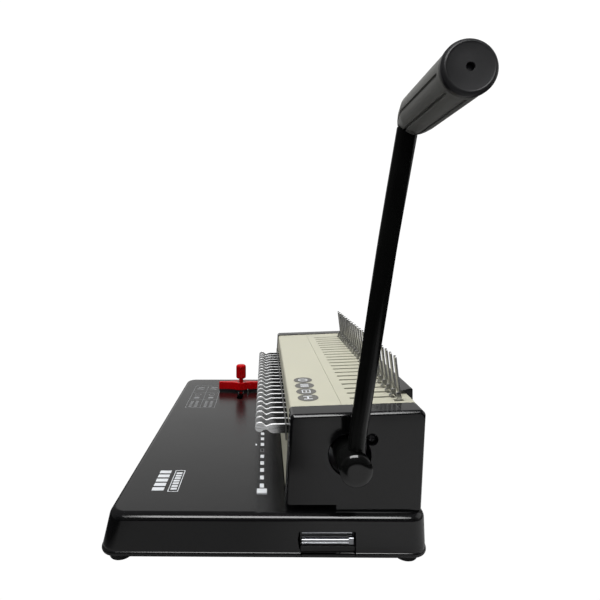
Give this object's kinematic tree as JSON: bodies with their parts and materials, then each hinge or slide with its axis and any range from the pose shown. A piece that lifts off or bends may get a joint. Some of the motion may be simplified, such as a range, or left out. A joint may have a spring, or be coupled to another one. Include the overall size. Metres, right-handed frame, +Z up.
{
  "type": "comb binding machine",
  "caption": "Desktop plastic-comb binding machine: lever-driven punch with pull-out pin selectors, comb-opening tines and hooks, paper table with edge guide, chip tray.",
  "frame": {"origin": "centre of the whole machine's bounding box, lever included, on the plane its feet rest on", "axes": "+X to the operator's right, towards the lever side and along the row of punch pins; +Y from the operator towards the rear; +Z up"},
  "size_m": [0.529, 0.2658, 0.3464],
  "materials": {
    "black_gloss": "moulded gloss black, high-gloss paper table with fine texture",
    "ivory_paint": "satin ivory powder coat",
    "selector_steel": "bright plated steel",
    "comb_steel": "satin grey plated steel",
    "frame_steel": "zinc plated sheet",
    "underside_steel": "black painted sheet",
    "tool_steel": "oiled dark steel",
    "shaft_steel": "ground bar",
    "spring_steel": "drawn wire",
    "bushing_brass": "turned",
    "foot_rubber": "matte",
    "guide_red": "glossy red",
    "lever_paint": "gloss black paint",
    "grip_plastic": "satin dark grey"
  },
  "bodies": {
    "frame": {"base_shell": "black_gloss", "bottom_plate": "underside_steel", "foot_front_left": "foot_rubber", "foot_front_right": "foot_rubber", "foot_rear_left": "foot_rubber", "foot_rear_right": "foot_rubber", "deck_cover": "ivory_paint", "slot_plate": "ivory_paint", "rear_cover": "black_gloss", "end_cap_right": "black_gloss", "end_cap_left": "black_gloss", "cap_screw_right": "tool_steel", "cap_screw_left": "tool_steel", "side_frame_right": "frame_steel", "side_frame_left": "frame_steel", "die_plate": "frame_steel", "pin_guide": "frame_steel", "throat_spacer": "frame_steel", "bushing_right": "bushing_brass", "bushing_left": "bushing_brass", "selector_retainer": "frame_steel", "tine_plate": "comb_steel"},
    "lever": {"drive_shaft": "shaft_steel", "punch_cam_right": "tool_steel", "punch_cam_left": "tool_steel", "opener_gear_right": "tool_steel", "opener_gear_left": "tool_steel", "lever_hub": "lever_paint", "lever_arm": "lever_paint", "lever_grip": "grip_plastic", "grip_end_cap": "grip_plastic"},
    "ram": {"punch_ram": "tool_steel", "return_spring_right": "spring_steel", "return_spring_left": "spring_steel"},
    "comb_opener": {"hook_carriage": "comb_steel"},
    "tray": {"chip_tray": "black_gloss"},
    "guide": {"edge_guide": "guide_red", "guide_clamp": "frame_steel"},
    "knob": {"guide_knob": "guide_red"},
    "selector_pin_01": {"selector_01": "selector_steel"},
    "selector_pin_02": {"selector_02": "selector_steel"},
    "selector_pin_03": {"selector_03": "selector_steel"},
    "selector_pin_04": {"selector_04": "selector_steel"},
    "selector_pin_05": {"selector_05": "selector_steel"},
    "selector_pin_06": {"selector_06": "selector_steel"},
    "selector_pin_07": {"selector_07": "selector_steel"},
    "selector_pin_08": {"selector_08": "selector_steel"},
    "selector_pin_09": {"selector_09": "selector_steel"},
    "selector_pin_10": {"selector_10": "selector_steel"},
    "selector_pin_11": {"selector_11": "selector_steel"},
    "selector_pin_12": {"selector_12": "selector_steel"},
    "selector_pin_13": {"selector_13": "selector_steel"},
    "selector_pin_14": {"selector_14": "selector_steel"},
    "selector_pin_15": {"selector_15": "selector_steel"},
    "selector_pin_16": {"selector_16": "selector_steel"},
    "selector_pin_17": {"selector_17": "selector_steel"},
    "selector_pin_18": {"selector_18": "selector_steel"},
    "selector_pin_19": {"selector_19": "selector_steel"},
    "selector_pin_20": {"selector_20": "selector_steel"},
    "selector_pin_21": {"selector_21": "selector_steel"}
  },
  "joints": [
    {"name": "lever_pull", "type": "hinge", "parent": "frame", "child": "lever", "pos_m": [0.1195, 0.0678, 0.0837], "axis": [1, 0, 0], "range_deg": [0, 80]},
    {"name": "ram_press", "type": "slide", "parent": "frame", "child": "ram", "axis": [0, 0, -1], "range_m": [0, 0.00902], "deforming": ["return_spring_right", "return_spring_left"]},
    {"name": "hook_open", "type": "slide", "parent": "frame", "child": "comb_opener", "axis": [0, -1, 0], "range_m": [0, 0.03355]},
    {"name": "chip_tray_slide", "type": "slide", "parent": "frame", "child": "tray", "axis": [1, 0, 0], "range_m": [0, 0.3]},
    {"name": "edge_guide_slide", "type": "slide", "parent": "frame", "child": "guide", "axis": [1, 0, 0], "range_m": [-0.022, 0.034]},
    {"name": "guide_knob_turn", "type": "hinge", "parent": "guide", "child": "knob", "pos_m": [-0.1985, -0.036, 0.065], "axis": [0, 0, 1], "range_deg": [0, 270]},
    {"name": "selector_pull_01", "type": "slide", "parent": "frame", "child": "selector_pin_01", "axis": [0, -1, 0], "range_m": [0, 0.012]},
    {"name": "selector_pull_02", "type": "slide", "parent": "frame", "child": "selector_pin_02", "axis": [0, -1, 0], "range_m": [0, 0.012]},
    {"name": "selector_pull_03", "type": "slide", "parent": "frame", "child": "selector_pin_03", "axis": [0, -1, 0], "range_m": [0, 0.012]},
    {"name": "selector_pull_04", "type": "slide", "parent": "frame", "child": "selector_pin_04", "axis": [0, -1, 0], "range_m": [0, 0.012]},
    {"name": "selector_pull_05", "type": "slide", "parent": "frame", "child": "selector_pin_05", "axis": [0, -1, 0], "range_m": [0, 0.012]},
    {"name": "selector_pull_06", "type": "slide", "parent": "frame", "child": "selector_pin_06", "axis": [0, -1, 0], "range_m": [0, 0.012]},
    {"name": "selector_pull_07", "type": "slide", "parent": "frame", "child": "selector_pin_07", "axis": [0, -1, 0], "range_m": [0, 0.012]},
    {"name": "selector_pull_08", "type": "slide", "parent": "frame", "child": "selector_pin_08", "axis": [0, -1, 0], "range_m": [0, 0.012]},
    {"name": "selector_pull_09", "type": "slide", "parent": "frame", "child": "selector_pin_09", "axis": [0, -1, 0], "range_m": [0, 0.012]},
    {"name": "selector_pull_10", "type": "slide", "parent": "frame", "child": "selector_pin_10", "axis": [0, -1, 0], "range_m": [0, 0.012]},
    {"name": "selector_pull_11", "type": "slide", "parent": "frame", "child": "selector_pin_11", "axis": [0, -1, 0], "range_m": [0, 0.012]},
    {"name": "selector_pull_12", "type": "slide", "parent": "frame", "child": "selector_pin_12", "axis": [0, -1, 0], "range_m": [0, 0.012]},
    {"name": "selector_pull_13", "type": "slide", "parent": "frame", "child": "selector_pin_13", "axis": [0, -1, 0], "range_m": [0, 0.012]},
    {"name": "selector_pull_14", "type": "slide", "parent": "frame", "child": "selector_pin_14", "axis": [0, -1, 0], "range_m": [0, 0.012]},
    {"name": "selector_pull_15", "type": "slide", "parent": "frame", "child": "selector_pin_15", "axis": [0, -1, 0], "range_m": [0, 0.012]},
    {"name": "selector_pull_16", "type": "slide", "parent": "frame", "child": "selector_pin_16", "axis": [0, -1, 0], "range_m": [0, 0.012]},
    {"name": "selector_pull_17", "type": "slide", "parent": "frame", "child": "selector_pin_17", "axis": [0, -1, 0], "range_m": [0, 0.012]},
    {"name": "selector_pull_18", "type": "slide", "parent": "frame", "child": "selector_pin_18", "axis": [0, -1, 0], "range_m": [0, 0.012]},
    {"name": "selector_pull_19", "type": "slide", "parent": "frame", "child": "selector_pin_19", "axis": [0, -1, 0], "range_m": [0, 0.012]},
    {"name": "selector_pull_20", "type": "slide", "parent": "frame", "child": "selector_pin_20", "axis": [0, -1, 0], "range_m": [0, 0.012]},
    {"name": "selector_pull_21", "type": "slide", "parent": "frame", "child": "selector_pin_21", "axis": [0, -1, 0], "range_m": [0, 0.012]}
  ],
  "couplings": [
    {"joint": "ram_press", "follows": "lever_pull", "m_per_rad": 0.0064458},
    {"joint": "hook_open", "follows": "lever_pull", "m_per_rad": 0.024}
  ]
}
